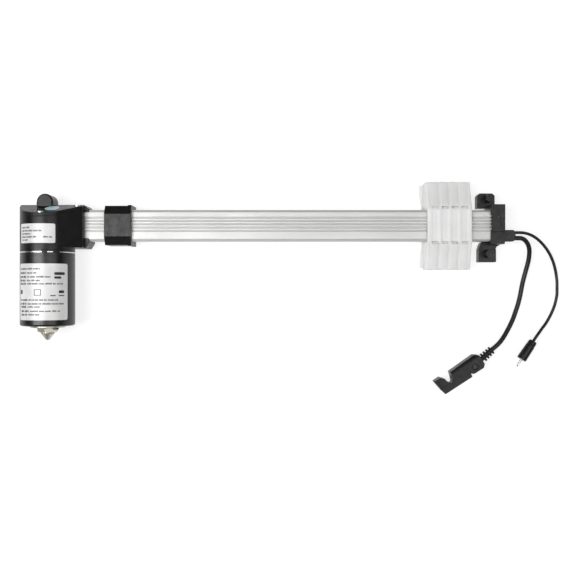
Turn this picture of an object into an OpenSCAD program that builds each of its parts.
// Linear actuator: a DC motor turns a lead screw through a worm gearbox, and the
// screw drives a nylon slider along an aluminium rail. It lies on its back.
// Origin: centre of the rear pivot bore, on the motor's axis. +X runs along the rail,
// the motor hangs towards -Y, and +Z comes out of the rail's fluted front face.

/* [Rail] */
// Width of the fluted face
rail_w = 31; // [30:0.5:32]
// Depth, front to back
rail_h = 20; // [20:0.5:21]
// Wall thickness
rail_wall = 2; // [1.8:0.1:2.2]
// Where the rail ends, from the pivot bore
rail_end = 444; // [440:1:446]
// Spacing of the five flutes
flute_pitch = 3.25; // [3:0.05:3.4]
// Width of the slot in the back wall
slot_w = 9; // [8.8:0.1:10]

/* [Motor] */
// Radius of the can
can_r = 26; // [25.5:0.1:26]
// Top and bottom of the can, measured down the motor's axis
can_top = 50.4; // [50.2:0.1:50.6]
can_bottom = 121.2; // [120.5:0.1:123]
// Thickness of the can's wall
can_wall = 1.8; // [1.5:0.1:2]

/* [Gearbox] */
// Drop of the roof's ridge below the pivot bore
ridge_drop = 2.6; // [2.2:0.1:2.8]
// Slope of the roof
roof_angle = 21.4; // [19:0.2:23]
// Thickness of the cover
cover_t = 3; // [2.5:0.1:3]
// Radius of the rear pivot bore
pivot_r = 4.25; // [4:0.05:4.5]
// Radius and thickness of the pivot ear
ear_r = 8; // [7.5:0.25:8.5]
ear_t = 18; // [16:1:18]
// Where the ear's front face stands, and the closed wall between it and the bore
ear_front = 5.2; // [4:0.2:5.4]
ear_front_wall = 3; // [2.5:0.5:4]

/* [Drive] */
// Teeth on the worm wheel
wheel_teeth = 18; // [18:1:18]
// Gear module of the worm and its wheel
gear_module = 1; // [1:0.1:1]
// Radius of the lead screw
screw_r = 5; // [4.5:0.1:5]
// Radial running clearance of shafts in bushes
running = 0.05; // [0.03:0.01:0.08]

/* [Slider] */
// Left end of the slider at rest
slider_x = 373.1; // [360:0.5:373.5]
// Length along the rail
slider_len = 43.4; // [42:0.2:44]
// Half of the width across the wings
slider_half = 43.6; // [42:0.2:45]
// Clearance around the rail
slider_gap = 0.35; // [0.3:0.05:0.5]

/* [Cords] */
// Radius of the power cord
power_r = 2.3; // [2:0.1:2.3]
// Radius of the signal cord
signal_r = 1.5; // [1.3:0.1:1.5]

/* [Hidden] */
$fn = 64;

// Places in the frame
rail_y = -22.5;
rail_z = -13;
rail_start = 18;
floor_z = -26;
front_z = rail_z + rail_h / 2;
back_z = rail_z - rail_h / 2;
rail_corner = 3;
cavity_w = rail_w - 2 * rail_wall;
cavity_h = rail_h - 2 * rail_wall;
flute_mid = 1.2;
flute_w = 1.5;
roof_rise = tan(roof_angle);
label_t = 0.25;

// Worm drive: pitch radii, and the worm's axial pitch for one start
worm_pitch_r = 4;
wheel_pitch_r = gear_module * wheel_teeth / 2;
axial_pitch = PI * gear_module;
addendum = 0.8 * gear_module;
dedendum = 1.1 * gear_module;
tooth_share = 0.4;
worm_tip = 6.9;
worm_from = 11;
worm_to = 35;
shaft_from = 28;
wheel_w = 8;
wheel_twist = 360 / wheel_teeth * wheel_w / (2 * PI * worm_pitch_r);
journal_r = 4;
shaft_r = 3;
worm_nose_r = 2;

// Slider: central band over the rail, wings sloping down to the tips
slider_back = floor_z - rail_z;
flange_half = slider_half - 2;
band_half = 17.2;
band_front = 15.5;
wing_root = 14.5;
wing_tip = 5.5;
channel_pitch = 9.7;
channel_w = 6.7;
channel_depth = 1.3;
bolt_r = 2.2;
channels = [for (i = [-1.5 : 1.5]) slider_x + slider_len / 2 + i * channel_pitch];
tongue_w = 7.8;
nut_clearance = 0.08;
nut_from = slider_x + 3;
nut_to = slider_x + slider_len - 3;
nut_screw_x = [for (s = [-1, 1]) slider_x + slider_len / 2 + s * 10];

// Gearbox neck that grips the rail
neck_front_x = 35.2;
neck_end_x = 39.8;
neck_low_y = -45;
neck_roof_x = 9;
ear_edge = 1.2;
// The ear's outline is wider to the left of the bore than to the right
ear_x = -1.5;
ear_back = ear_front - ear_t;
cover_boss_r = 8;
cover_boss_end = 10;
seam_y = -49.2;
// Cover screws: places in X and Z, head and thread
cover_screw_xz = [[0, 22.3], [29.6, 2.2], [-20.5, -8.5]];
cover_head_r = 2.8;
cover_head_h = 2;
cover_thread_r = 1.4;
cover_thread_len = 9;

// Clip around the rail, with a flange at its right end
clip_x = 55.3;
clip_flange_x = 78;
clip_end = 81.5;

// Limit switches inside the rail, and the board that carries them
rear_switch_x = 74.4;
front_switch_x = nut_to + 6.7;
switch_len = 12;
switch_y = rail_y - cavity_w / 2 + 1;

// End cap
cap_x = 435.7;
cap_end = 449.5;
gland_end = 462;
foot_y = 27.4;
boss_x = 436.2;
cap_screw_x = 443.5;
cap_screw_dy = [1.1, 7.7];

// Connector on the power cord: its corner in the frame and its heading
plug_at = [430, -155.5];
plug_angle = 213;
plug_mid_z = -19.5;
plug_top_z = -13;
plug_screw_at = [10, 2.7, plug_top_z - 1.6];
contact_r = 1.6;
relief_at = 1.2;
relief_angle = 9.5;
relief_len = 14.94;
rib_pitch = 3.4;

// Jack on the signal cord
jack_at = [484, -138];
jack_angle = 236.5;
jack_z = -21.1;
jack_len = 22;

// Routes of the two cords, from the gland to the strain relief and to the jack
power_route = [
    [462, -34.5, -12], [467, -34.5, -12], [471.5, -35.6, -12.6], [475.2, -38.8, -14],
    [477.6, -43, -15.5], [478.7, -48, -17.2], [478.8, -54, -19], [478, -60.5, -20.8],
    [476.7, -67, -22.3], [475.2, -73.5, -23.2], [473.7, -80, -23.6], [472.4, -87, -23.7],
    [471, -94, -23.7], [469.2, -101, -23.7], [466.9, -108, -23.7], [464.4, -115, -23.5],
    [461.1, -122, -23], [457.6, -128.2, -22.2], [454.5, -133, -21.2], [451.5, -137, -20.2],
    [448.4, -140.5, -19.6], [445.1, -143.5, -19.5], [441.7, -146.4, -19.5],
];
signal_route = [
    [462, -29, -12], [467, -29, -12], [472, -29.3, -12.4], [477.5, -30.7, -13.2],
    [483.3, -33.4, -14.4], [489, -37.5, -16], [494.5, -42.8, -17.8], [499.4, -49, -19.6],
    [503.4, -56, -21.4], [506.4, -63.6, -23], [508.3, -71.6, -24.1], [509.2, -80, -24.5],
    [509.2, -88.5, -24.5], [508, -97, -24.5], [505.6, -105, -24.5], [502.2, -112.5, -24.4],
    [498, -119.5, -23.8], [492.8, -126, -22.5], [487.3, -133, -21.1], [484, -138, -21.1],
];

// ---- Placing ----

// Local z runs down the motor's axis, local y comes forward
module down_motor(from = 0) { translate([0, -from, 0]) rotate([90, 0, 0]) children(); }

// Local z runs along the lead screw's axis
module on_screw(from = 0) { translate([from, rail_y, rail_z]) rotate([0, 90, 0]) children(); }

// A section drawn across the rail, from one X to another
module across_rail(from, to) {
    translate([from, rail_y, rail_z]) rotate([90, 0, 90]) linear_extrude(to - from) children();
}

// A box given by its two corners, in the frame
module block(low, high) { translate(low) cube(high - low); }

module ring(outer, inner, height) {
    difference() {
        cylinder(r = outer, h = height);
        translate([0, 0, -1]) cylinder(r = inner, h = height + 2);
    }
}

module at_plug() { translate([plug_at.x, plug_at.y, 0]) rotate([0, 0, plug_angle]) children(); }

module at_jack(from = 0) {
    translate([jack_at.x, jack_at.y, jack_z]) rotate([0, 0, jack_angle])
        translate([from, 0, 0]) rotate([0, 90, 0]) children();
}

// ---- Tubes along a route ----

function unit(v) = v / norm(v);
function heading(p, i) = unit(p[min(i + 1, len(p) - 1)] - p[max(i - 1, 0)]);
function sideways(t) = unit(cross(t, [0, 0, 1]));

module swept_tube(route, r, sides) {
    n = len(route);
    points = [
        for (i = [0 : n - 1])
            let (t = heading(route, i), s = sideways(t), u = cross(s, t))
                for (k = [0 : sides - 1])
                    route[i] + r * (cos(360 * k / sides) * s + sin(360 * k / sides) * u)
    ];
    skin = [
        for (i = [0 : n - 2], k = [0 : sides - 1])
            let (a = i * sides, m = (k + 1) % sides) [a + k, a + sides + k, a + sides + m, a + m]
    ];
    start = [for (k = [0 : sides - 1]) k];
    finish = [for (k = [sides - 1 : -1 : 0]) (n - 1) * sides + k];
    polyhedron(points, concat(skin, [start, finish]), convexity = 8);
}

// ---- Rail ----

module rounded_section(w, h, r) {
    square([w - 2 * r, h], center = true);
    square([w, h - 2 * r], center = true);
    for (sx = [-1, 1], sy = [-1, 1])
        translate([sx * (w / 2 - r), sy * (h / 2 - r)]) circle(r = r);
}

module rail() {
    color("silver") across_rail(rail_start, rail_end) difference() {
        rounded_section(rail_w, rail_h, rail_corner);
        square([cavity_w, cavity_h], center = true);
        translate([0, -rail_h / 2]) square([slot_w, 3 * rail_wall], center = true);
        for (i = [-2 : 2])
            translate([flute_mid + i * flute_pitch, rail_h / 2])
                rotate(45) square(flute_w / sqrt(2), center = true);
    }
}

// The clip's outside: a flat face in front with a slope on each side of it
module clip_section(half_w, front) {
    face = 11;
    shoulder = front - 4.7;
    polygon([
        [-half_w, floor_z - rail_z], [half_w, floor_z - rail_z], [half_w, shoulder], [face, front],
        [-face, front], [-half_w, shoulder],
    ]);
}

module rail_clip() {
    color([0.1, 0.1, 0.1]) difference() {
        union() {
            across_rail(clip_x, clip_flange_x) clip_section(19.4, 13.9);
            across_rail(clip_flange_x, clip_end) clip_section(20.1, 14.5);
        }
        across_rail(clip_x - 5, clip_end + 5) rounded_section(rail_w, rail_h, rail_corner);
    }
}

// ---- End cap and its sleeve ----

module foot(side) {
    corner = 2.4;
    edge = side > 0 ? [18.2, 33.2] : [-35.8, -20.8];
    x0 = side > 0 ? 426 : 427.4;
    x1 = side > 0 ? 443.6 : 445;
    translate([0, rail_y, floor_z]) linear_extrude(10) polygon([
        [x0, edge[0]], [x1, edge[0]], [x1, edge[1] - corner], [x1 - corner, edge[1]],
        [x0 + corner, edge[1]], [x0, edge[1] - corner],
    ]);
    translate([boss_x, rail_y + side * foot_y, floor_z]) cylinder(r = 4, h = 21.5);
}

module end_cap() {
    wall_x = rail_end;
    color([0.1, 0.1, 0.1]) difference() {
        union() {
            block([cap_x, rail_y - 6.6, floor_z], [cap_end, rail_y + 20.6, front_z + 3.4]);
            block([cap_x, rail_y - 18.4, floor_z], [cap_end, rail_y - 6.6, front_z + 2]);
            // Webs that carry the two feet
            block([boss_x, rail_y + 15.6, floor_z], [cap_x + 4, rail_y + 20, floor_z + 10]);
            translate([0, rail_y, floor_z]) linear_extrude(10) polygon([
                [430.5, -15.6], [cap_end, -15.6], [cap_end - 0.2, -18.2], [445.6, -20.2],
                [444.2, -23.5], [427.3, -23.5], [428.8, -18.4],
            ]);
            foot(1);
            foot(-1);
        }
        across_rail(400, wall_x) rounded_section(rail_w, rail_h, rail_corner);
        // Scalloped lip over the flutes
        for (i = [-2 : 2])
            translate([cap_x, rail_y + flute_mid + (i + 0.5) * flute_pitch, front_z - 1])
                cylinder(r = 0.9, h = 6);
        // Sockets of the two cap screws, then the screw bush's and the cable's
        for (dy = cap_screw_dy)
            translate([cap_screw_x, rail_y + dy, front_z + 1.4]) cylinder(r = 1.5, h = 5);
        translate([rail_end - 1, rail_y - 13, rail_z - 4]) cube([20, 6, 8]);
    }
    // Plug that fills the rail's end and holds the screw's bush
    color([0.1, 0.1, 0.1]) difference() {
        block([433, rail_y - 6.5, rail_z - 7.8], [rail_end, rail_y + 9, rail_z + 7.8]);
        on_screw(430) cylinder(r = 6, h = 9);
    }
}

module end_cap_screws() {
    color("dimgray") for (dy = cap_screw_dy)
        translate([cap_screw_x, rail_y + dy, front_z + 1.4]) cylinder(r = 1.5, h = 1);
}

module screw_end_bush() {
    color("goldenrod") on_screw(433) ring(6, 3.5 + running, 6);
}

module cable_gland() {
    half = 5.65;
    chamfer = 2;
    z0 = rail_z + 1 - 4.8;
    color([0.08, 0.08, 0.08]) translate([0, rail_y - 9.8, z0]) linear_extrude(9.6) polygon([
        [cap_end, -half], [gland_end - chamfer, -half], [gland_end, chamfer - half],
        [gland_end, half - chamfer], [gland_end - chamfer, half], [cap_end, half],
    ]);
}

// ---- Gearbox ----

// Plan of the housing seen along the motor's axis: a round part and a taper to the rail
module plan(r, end_x, end_z, low_z) {
    reach = norm([end_x, end_z]);
    a = atan2(end_z, end_x) + acos(r / reach);
    circle(r = r);
    polygon([[0, 0], [0, low_z], [end_x, low_z], [end_x, end_z], r * [cos(a), sin(a)]]);
}

// How far the roof lies below the pivot bore at a place in Z
function roof_drop(z) = ridge_drop + abs(z) * roof_rise;

// Everything under the roof when the roof is lowered by some amount
module under_roof(lower) {
    half = 30;
    translate([-40, 0, 0]) rotate([90, 0, 90]) linear_extrude(120) polygon([
        [-roof_drop(0) - lower, 0], [-roof_drop(half) - lower, half], [-90, half],
        [-90, -half], [-roof_drop(half) - lower, -half],
    ]);
    // Over the rail the roof stays level to the back
    block([neck_roof_x, -90, -half], [80, -roof_drop(0) - lower, 0]);
}

// Slanted ends of the lips above and below the rail
module slanted_ends() {
    translate([0, 0, -40]) linear_extrude(60) polygon([
        [neck_front_x, 5], [neck_front_x, -ridge_drop], [neck_end_x, rail_y + rail_w / 2],
        [60, rail_y + rail_w / 2], [60, 5],
    ]);
    translate([0, 0, -40]) linear_extrude(60) polygon([
        [neck_end_x - 3.5, neck_low_y - 8], [neck_end_x - 3.5, neck_low_y],
        [neck_end_x, neck_low_y + 5.5], [60, neck_low_y + 5.5], [60, neck_low_y - 8],
    ]);
}

module gearbox_body() {
    difference() {
        union() {
            down_motor(0) linear_extrude(-seam_y) circle(r = can_r);
            down_motor(0) linear_extrude(-neck_low_y) plan(can_r, neck_front_x, 4, floor_z);
            block([neck_front_x - 1, neck_low_y, floor_z], [neck_end_x, 0, front_z]);
        }
        slanted_ends();
    }
}

// How far a cover screw's head seat lies below the pivot bore
function screw_seat(p) = 1.6 + roof_drop(p.y);

// A hole down from above the roof at each cover screw, to some depth past its seat
module cover_screw_holes(r, depth) {
    for (p = cover_screw_xz)
        translate([p.x, 0, p.y]) down_motor(-2) cylinder(r = r, h = 2 + screw_seat(p) + depth);
}

module gearbox_housing() {
    wall = 2.8;
    color([0.09, 0.09, 0.09]) difference() {
        intersection() {
            gearbox_body();
            under_roof(cover_t);
        }
        // Chamber of the wheel and worm, open under the cover
        difference() {
            down_motor(0) linear_extrude(-seam_y - 3) intersection() {
                circle(r = can_r - wall);
                translate([-40, floor_z + 2]) square([56, 60]);
            }
            block([6.6, -36, -30], [20, 0, -0.8]);
            on_screw(-30) cylinder(r = 8.5, h = 20.5);
            for (p = cover_screw_xz) translate([p.x, 0, p.y]) down_motor(0) cylinder(r = 3.6, h = 26);
        }
        // Room for the cover's boss
        down_motor(0) cylinder(r = cover_boss_r + 0.2, h = cover_boss_end + 0.2);
        on_screw(-13.5) cylinder(r = 6, h = 10);
        on_screw(-16) cylinder(r = 4.6, h = 10);
        on_screw(6) cylinder(r = 10.5, h = 7.8);
        on_screw(6) cylinder(r = 6.5, h = 30);
        across_rail(rail_start, 60) rounded_section(rail_w, rail_h, rail_corner);
        // Shaft opening and the screws' threaded holes
        down_motor(40) cylinder(r = 6.5, h = 20);
        cover_screw_holes(cover_thread_r, cover_thread_len + 0.5);
    }
    // Lock tabs over the motor's flange
    color([0.09, 0.09, 0.09]) for (s = [-1, 1]) intersection() {
        translate([10 + s * 5, seam_y, 22]) cube([5, 3.2, 12], center = true);
        union() {
            down_motor(-seam_y - 1.6) ring(can_r + 0.7, can_r, 3.2);
            down_motor(-seam_y - 1.6) ring(can_r + 0.7, can_r - 1, 1.6);
        }
    }
}

module gearbox_cover() {
    color([0.13, 0.13, 0.13]) difference() {
        union() {
            intersection() {
                gearbox_body();
                under_roof(0);
            }
            // Pivot ear on its web, with a chamfer around its front face
            translate([ear_x, 0, ear_back]) cylinder(r = ear_r, h = ear_t - ear_edge);
            translate([ear_x, 0, ear_front - ear_edge])
                cylinder(r1 = ear_r, r2 = ear_r - ear_edge, h = ear_edge);
            block([ear_x - ear_r, -12, ear_back], [ear_x + ear_r, 0, ear_front - ear_edge]);
            block([ear_x - ear_r + ear_edge, -12, 0], [ear_x + ear_r - ear_edge, 0, ear_front]);
        }
        difference() {
            under_roof(cover_t);
            // Boss that holds the worm's upper bush
            down_motor(0) cylinder(r = cover_boss_r, h = cover_boss_end);
        }
        down_motor(6.5) cylinder(r = 5, h = 10);
        translate([0, 0, ear_back - 20]) cylinder(r = pivot_r, h = ear_t + 20 - ear_front_wall);
        cover_screw_holes(cover_thread_r + 0.2, 10);
        cover_screw_holes(cover_head_r + 0.3, 0);
    }
}

module cover_screws() {
    slot_l = 4;
    slot_t = 0.9;
    color("gainsboro") for (p = cover_screw_xz)
        translate([p.x, 0, p.y]) down_motor(screw_seat(p)) difference() {
            union() {
                translate([0, 0, -cover_head_h]) cylinder(r = cover_head_r, h = cover_head_h);
                cylinder(r = cover_thread_r, h = cover_thread_len);
            }
            translate([0, 0, -cover_head_h - 1]) linear_extrude(2.2) {
                square([slot_l, slot_t], center = true);
                square([slot_t, slot_l], center = true);
            }
        }
}

// Direction at an angle from the front, seen along the motor's axis
function front_turn(a) = [sin(a), cos(a)];

// A thin curved label on the can or housing, from one angle to another
module wrapped_label(r, thickness, from_a, to_a, top, bottom) {
    down_motor(top) linear_extrude(bottom - top) difference() {
        intersection() {
            circle(r = r + thickness);
            polygon([[0, 0], for (i = [0 : 4]) 2 * r * front_turn(from_a + i * (to_a - from_a) / 4)]);
        }
        circle(r = r);
    }
}

module gearbox_label() {
    color("gainsboro") wrapped_label(can_r, label_t, -50, 33, 23, 41.5);
}

module check_dot() {
    dot_z = 11.8;
    color("lightblue") translate([8.1, -roof_drop(dot_z), dot_z])
        rotate([roof_angle - 90, 0, 0]) cylinder(r = 6.9, h = 0.2);
}

module wheel_bush() { color("goldenrod") on_screw(-13.5) ring(6, journal_r + running, 4); }

module worm_tip_bush() { color("goldenrod") down_motor(6.5) ring(5, 2.5 + running, 3.5); }

module bearing_outer_ring() { color("silver") on_screw(6.8) ring(10.5, 8.85, 7); }

module bearing_balls() {
    color("gainsboro") on_screw(10.3) for (i = [0 : 7])
        rotate([0, 0, 45 * i]) translate([7.25, 0, 0]) sphere(r = 1.5);
}

// ---- Motor ----

module motor_flange() { color("gainsboro") down_motor(-seam_y) ring(can_r, 6, can_top + seam_y); }

module motor_can() {
    round = 1.6;
    length = can_bottom - can_top;
    color([0.08, 0.08, 0.08]) down_motor(can_top) difference() {
        union() {
            cylinder(r = can_r, h = length - round);
            cylinder(r = can_r - round, h = length);
            translate([0, 0, length - round]) rotate_extrude()
                translate([can_r - round, 0]) circle(r = round);
        }
        translate([0, 0, -1]) cylinder(r = can_r - can_wall, h = length - 1);
        cylinder(r = 5, h = length + 1);
    }
}

module motor_label() { color("gainsboro") wrapped_label(can_r, label_t, -59, 63, 61, 115); }

module motor_end_plate() {
    color("silver") down_motor(can_bottom) difference() {
        cylinder(r = 16.7, h = 1.8);
        for (s = [-1, 1]) rotate([0, 0, 35]) translate([s * 12.5, 0, -1]) cylinder(r = 1.5, h = 4);
    }
}

module end_plate_screws() {
    color("gray") down_motor(can_bottom) for (s = [-1, 1])
        rotate([0, 0, 35]) translate([s * 12.5, 0, 0]) {
            cylinder(r = 1.5, h = 1.8);
            translate([0, 0, 1.8]) cylinder(r = 2.7, h = 1.7);
        }
}

module end_hex_nut() {
    across_flats = 17;
    color("silver") down_motor(can_bottom + 1.8)
        rotate(30) cylinder(r = across_flats / sqrt(3), h = 4.5, $fn = 6);
}

module end_cone() {
    color("silver") down_motor(can_bottom + 6.3) rotate_extrude() polygon([
        [0, 0], [6.85, 0], [6.6, 1.2], [2.6, 6.8], [1.6, 7.9], [0, 8.2],
    ]);
}

module field_magnets() {
    color([0.25, 0.25, 0.27]) down_motor(60) difference() {
        ring(can_r - can_wall, 19.4, 48);
        translate([-7, -30, -1]) cube([14, 60, 50]);
    }
}

module brush_holder() {
    color([0.3, 0.25, 0.2]) down_motor(111) difference() {
        union() {
            cylinder(r = can_r - can_wall, h = 1.6);
            for (s = [-1, 1]) translate([s * 15, 0, 4.5]) cube([13, 6.4, 6], center = true);
        }
        translate([0, 0, -1]) cylinder(r = 8, h = 9);
        translate([0, 0, 4.5]) cube([40, 4, 3.6], center = true);
    }
}

module carbon_brushes() {
    color([0.2, 0.2, 0.2]) down_motor(111) for (s = [-1, 1])
        translate([s * 10.5, 0, 4.5]) cube([8, 4, 3.6], center = true);
}

module brush_springs() {
    color("silver") down_motor(115.5) for (s = [-1, 1])
        translate([s * 14.5, 0, 0]) rotate([0, s * 90, 0])
            linear_extrude(height = 5.4, twist = -1800, slices = 60, $fn = 6)
                translate([1.2, 0]) circle(r = 0.35);
}

module motor_front_bush() { color("goldenrod") down_motor(48) ring(6, shaft_r + running, 3.5); }

module motor_rear_bush() { color("goldenrod") down_motor(118.4) ring(5, 2.5 + running, 2.8); }

// ---- Rotor ----

module motor_shaft() {
    color("silver") {
        down_motor(shaft_from) cylinder(r = worm_nose_r, h = 10);
        down_motor(shaft_from + 10) cylinder(r = shaft_r, h = 79.4);
        down_motor(117.4) cylinder(r = 2.5, h = 3.6);
    }
}

// Radius of the worm's thread at an angle around its section
function thread_r(a) =
    let (
        away = min(abs(a), 360 - abs(a)) / 360,
        flank = (dedendum + addendum) * tan(20) / axial_pitch,
        crest = tooth_share / 2 - addendum * tan(20) / axial_pitch,
        depth = min(1, max(0, (away - crest) / flank))
    )
    worm_pitch_r + addendum - depth * (addendum + dedendum);

module worm() {
    length = worm_to - worm_from;
    turns = length / axial_pitch;
    mesh_phase = 270 - 360 * (-rail_y - worm_from) / axial_pitch;
    section = [for (a = [0 : 22.5 : 337.5]) thread_r(a) * [cos(a), sin(a)]];
    color("silver") difference() {
        union() {
            down_motor(worm_from) rotate([0, 0, mesh_phase])
                linear_extrude(height = length, twist = -360 * turns, slices = 96, $fn = 16)
                    polygon(section);
            // Journal in the tip bush, and the collar that grips the motor's shaft
            down_motor(worm_tip) cylinder(r = 2.5, h = worm_from - worm_tip + 1);
            down_motor(worm_to - 1) cylinder(r = 3.6, h = shaft_from + 11 - worm_to, $fn = 32);
        }
        down_motor(shaft_from) cylinder(r = worm_nose_r, h = 20, $fn = 24);
    }
}

module armature_core() {
    color([0.45, 0.45, 0.47]) down_motor(64) difference() {
        cylinder(r = 18.8, h = 40);
        translate([0, 0, -1]) cylinder(r = shaft_r, h = 42);
        for (i = [0 : 11]) rotate([0, 0, 30 * i]) translate([14.5, 0, -1]) {
            cylinder(r = 2.3, h = 42);
            translate([0, -0.8, 0]) cube([6, 1.6, 42]);
        }
    }
}

module armature_windings() {
    color([0.7, 0.35, 0.15]) for (from = [58, 104]) down_motor(from) difference() {
        cylinder(r = 17, h = from < 64 ? 6 : 5.5);
        translate([0, 0, -1]) cylinder(r = 7, h = 9);
    }
}

module commutator() {
    color([0.75, 0.45, 0.2]) down_motor(109.8) difference() {
        cylinder(r = 6, h = 8);
        translate([0, 0, -1]) cylinder(r = shaft_r, h = 10);
        for (i = [0 : 11]) rotate([0, 0, 30 * i]) translate([5.4, -0.2, -1]) cube([2, 0.4, 10]);
    }
}

// ---- Lead screw and wheel ----

module lead_screw() {
    color("silver") difference() {
        union() {
            on_screw(-13.2) cylinder(r = journal_r, h = 27.7);
            on_screw(14.5) cylinder(r = screw_r, h = 418);
            on_screw(432.5) cylinder(r = 3.5, h = 6.3);
        }
        translate([-3, rail_y - 1, rail_z + journal_r - 1]) cube([6, 2, 3]);
    }
}

module wheel_section() {
    r0 = wheel_pitch_r - dedendum;
    r1 = wheel_pitch_r + addendum;
    half = tooth_share * axial_pitch / 2;
    root = half + 0.25;
    tip = half - addendum * tan(20);
    circle(r = r0, $fn = 72);
    for (i = [0 : wheel_teeth - 1]) rotate((i + 0.5) * 360 / wheel_teeth) polygon([
        [r0 - 0.5, -root], [wheel_pitch_r, -half], [r1, -tip],
        [r1, tip], [wheel_pitch_r, half], [r0 - 0.5, root],
    ]);
}

module worm_wheel() {
    color("goldenrod") difference() {
        union() {
            on_screw(0) rotate([0, 0, 180 - wheel_twist / 2])
                linear_extrude(height = wheel_w, twist = -wheel_twist, slices = 4, center = true)
                    wheel_section();
            on_screw(wheel_w / 2 - 1) cylinder(r = 6.5, h = 3.5);
        }
        on_screw(-10) cylinder(r = journal_r, h = 20);
        translate([-3, rail_y - 1, rail_z]) cube([6, 2, 5.2]);
    }
}

module wheel_key() {
    color("dimgray") translate([-3, rail_y - 1, rail_z + journal_r - 1]) cube([6, 2, 2.2]);
}

module wheel_lock_nut() {
    color("silver") on_screw(-8.4) difference() {
        cylinder(r = 13 / sqrt(3), h = 4.4, $fn = 6);
        translate([0, 0, -1]) cylinder(r = journal_r, h = 8);
    }
}

module bearing_inner_ring() { color("silver") on_screw(6.8) ring(5.65, journal_r, 7); }

// ---- Slider ----

module slider_block() {
    color("white") difference() {
        union() {
            across_rail(slider_x, slider_x + slider_len) polygon([
                [-slider_half, slider_back], [slider_half, slider_back], [slider_half, wing_tip],
                [band_half, wing_root], [band_half, band_front], [-band_half, band_front],
                [-band_half, wing_root], [-slider_half, wing_tip],
            ]);
            // Back flange, a little longer than the block, most of all at its rear corners
            translate([slider_x, rail_y, floor_z]) linear_extrude(3) polygon([
                [-2, 20.5], [-4, 32], [-4, flange_half], [slider_len + 2, flange_half],
                [slider_len + 2, -flange_half], [-3.4, -flange_half], [-3.4, -32], [-2, -20.5],
            ]);
        }
        across_rail(0, 500) rounded_section(rail_w + 2 * slider_gap, rail_h + 2 * slider_gap, rail_corner);
        for (x = channels) {
            // Channel across the band, with a pocket at each end
            block([x - channel_w / 2, rail_y - 16, rail_z + band_front - channel_depth],
                  [x + channel_w / 2, rail_y + 16, rail_z + band_front + 1]);
            for (s = [-1, 1]) translate([x, rail_y + s * band_half, rail_z + band_front])
                cube([6.5, 2.4, 5], center = true);
            // Bolt bore in each wing
            for (s = [-1, 1]) translate([x, rail_y + s * (slider_half - 22), rail_z - 4])
                rotate([-s * 90, 0, 0]) cylinder(r = bolt_r, h = 40);
        }
        for (x = nut_screw_x) translate([x, rail_y, floor_z - 1]) {
            cylinder(r = 1.5, h = 10);
            cylinder(r = 2.9, h = 2.6);
        }
    }
}

module drive_nut() {
    half_h = cavity_h / 2 - 0.4;
    color("ivory") difference() {
        union() {
            block([nut_from, rail_y - 12, rail_z - half_h], [nut_to, rail_y + 9, rail_z + half_h]);
            // Tongue through the rail's slot to the slider
            block([nut_from + 3, rail_y - tongue_w / 2, back_z - slider_gap],
                  [nut_to - 3, rail_y + tongue_w / 2, rail_z - 6]);
        }
        on_screw(300) cylinder(r = screw_r + nut_clearance, h = 200);
        for (x = nut_screw_x) translate([x, rail_y, back_z - 5]) cylinder(r = 1.5, h = 8.6);
    }
}

module nut_screws() {
    color("silver") for (x = nut_screw_x) translate([x, rail_y, floor_z + 0.3]) {
        cylinder(r = 2.7, h = 1.3);
        translate([0, 0, 1.3]) cylinder(r = 1.5, h = 4.9);
    }
}

// ---- Limit switches, wiring inside the rail ----

module switch_body(x) { block([x, switch_y, rail_z - 4], [x + switch_len, switch_y + 5.6, rail_z + 4]); }

module switch_strip() {
    color("darkgreen") block([24, switch_y - 1, rail_z - 4.5], [430, switch_y, rail_z + 4.5]);
}

module rear_limit_switch() {
    color([0.15, 0.15, 0.15]) difference() {
        switch_body(rear_switch_x);
        block([rear_switch_x + switch_len - 4, switch_y + 2.4, rail_z - 1.3],
              [rear_switch_x + switch_len + 1, switch_y + 4.6, rail_z + 1.3]);
    }
}

module front_limit_switch() {
    color([0.15, 0.15, 0.15]) difference() {
        switch_body(front_switch_x);
        block([front_switch_x - 1, switch_y + 2.4, rail_z - 1.3],
              [front_switch_x + 4, switch_y + 4.6, rail_z + 1.3]);
    }
}

module rear_switch_button() {
    color("red") block([rear_switch_x + switch_len - 2.6, switch_y + 2.7, rail_z - 1],
                       [rear_switch_x + switch_len + 1.4, switch_y + 4.3, rail_z + 1]);
}

module front_switch_button() {
    color("red") block([front_switch_x - 1.4, switch_y + 2.7, rail_z - 1],
                       [front_switch_x + 2.6, switch_y + 4.3, rail_z + 1]);
}

module rail_cable() {
    color("black") block([24, rail_y + 10.2, rail_z - 3], [432, rail_y + 12.4, rail_z + 3]);
}

// ---- Cords and what is on them ----

module power_cord() { color([0.07, 0.07, 0.07]) swept_tube(power_route, power_r, 10); }

module signal_cord() { color([0.07, 0.07, 0.07]) swept_tube(signal_route, signal_r, 8); }

module cord_strain_relief() {
    color([0.07, 0.07, 0.07]) translate([0, 0, plug_mid_z]) at_plug() difference() {
        translate([0, relief_at, 0]) rotate([0, 0, relief_angle]) rotate([0, -90, 0]) {
            translate([0, 0, -2]) cylinder(r = 2.9, h = relief_len + 2);
            for (i = [0 : 3]) translate([0, 0, 2.6 + rib_pitch * i]) cylinder(r = 4.8 - 0.15 * i, h = 1.7);
        }
        // The connector's rear face
        translate([0, -20, -20]) cube(40);
    }
}

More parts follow.
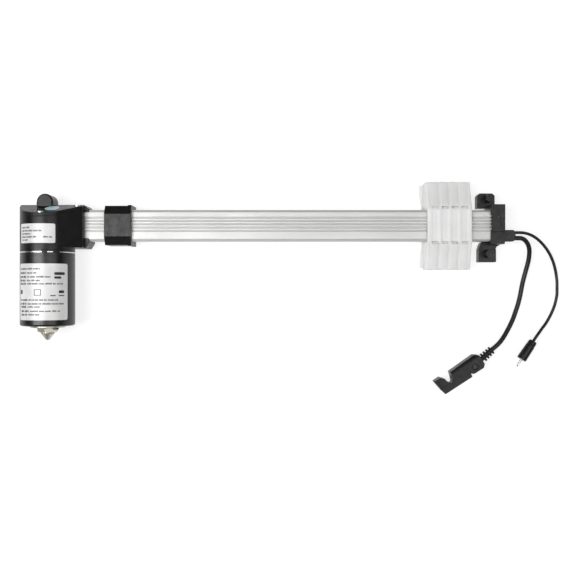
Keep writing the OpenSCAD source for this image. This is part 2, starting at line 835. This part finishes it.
module power_connector_body() {
    height = plug_top_z - floor_z;
    color([0.1, 0.1, 0.1]) at_plug() difference() {
        translate([0, 0, floor_z]) {
            linear_extrude(height) polygon([
                [0, -4.5], [4, -7.5], [33.5, -6.2], [35, -1], [37, 3.6], [16.6, 3.6], [15.8, 7.6],
                [13, 8.4], [3, 8.4], [0, 5.5],
            ]);
            // Side bar that carries the hook
            linear_extrude(height - 1) polygon([
                [15.9, 3.6], [38.6, 3.6], [40.4, 2], [41.8, -3.6], [43.6, -4.8], [44.6, -6.8],
                [52.2, -6.6], [50.6, 5], [48.8, 11.6], [16.4, 11.6],
            ]);
        }
        // Slopes down to the bar's edge and to the hook's end
        translate([16, 3.6, plug_top_z - 1]) rotate([-41, 0, 0]) cube([50, 20, 12]);
        translate([49, -20, plug_top_z - 1]) rotate([0, 50, 0]) cube([20, 50, 12]);
        for (s = [-1, 1]) translate([24, -1, plug_mid_z + 2.6 * s]) rotate([0, 90, 0])
            cylinder(r = contact_r, h = 14);
        translate(plug_screw_at) cylinder(r = 3.2, h = 4);
        translate(plug_screw_at - [0, 0, 7.4]) cylinder(r = 1.2, h = 10);
    }
}

module connector_contacts() {
    color("gold") for (s = [-1, 1]) at_plug() translate([24, -1, plug_mid_z + 2.6 * s])
        rotate([0, 90, 0]) ring(contact_r, 1.1, 9.5);
}

module connector_screw() {
    color("dimgray") at_plug() {
        translate(plug_screw_at) cylinder(r = 1.9, h = 0.9);
        translate(plug_screw_at - [0, 0, 7]) cylinder(r = 1.2, h = 7);
    }
}

module jack_body() {
    color([0.1, 0.1, 0.1]) at_jack() rotate_extrude() polygon([
        [0, 0], [3.4, 0], [4.2, 1], [4.85, jack_len - 0.8], [4.2, jack_len], [0, jack_len],
    ]);
}

module jack_pin() {
    color("gainsboro") at_jack(jack_len) rotate_extrude() polygon([
        [0, 0], [1.6, 0], [1.6, 0.6], [1.1, 0.8], [1.1, 6.4], [0.7, 7.1], [0.95, 7.9], [0.4, 8.8],
        [0, 9],
    ]);
}

rail();
rail_clip();
end_cap();
end_cap_screws();
screw_end_bush();
cable_gland();
gearbox_housing();
gearbox_cover();
cover_screws();
gearbox_label();
check_dot();
wheel_bush();
worm_tip_bush();
bearing_outer_ring();
bearing_balls();
motor_flange();
motor_can();
motor_label();
motor_end_plate();
end_plate_screws();
end_hex_nut();
end_cone();
field_magnets();
brush_holder();
carbon_brushes();
brush_springs();
motor_front_bush();
motor_rear_bush();
motor_shaft();
worm();
armature_core();
armature_windings();
commutator();
lead_screw();
worm_wheel();
wheel_key();
wheel_lock_nut();
bearing_inner_ring();
slider_block();
drive_nut();
nut_screws();
switch_strip();
rear_limit_switch();
front_limit_switch();
rear_switch_button();
front_switch_button();
rail_cable();
power_cord();
cord_strain_relief();
power_connector_body();
connector_contacts();
connector_screw();
signal_cord();
jack_body();
jack_pin();
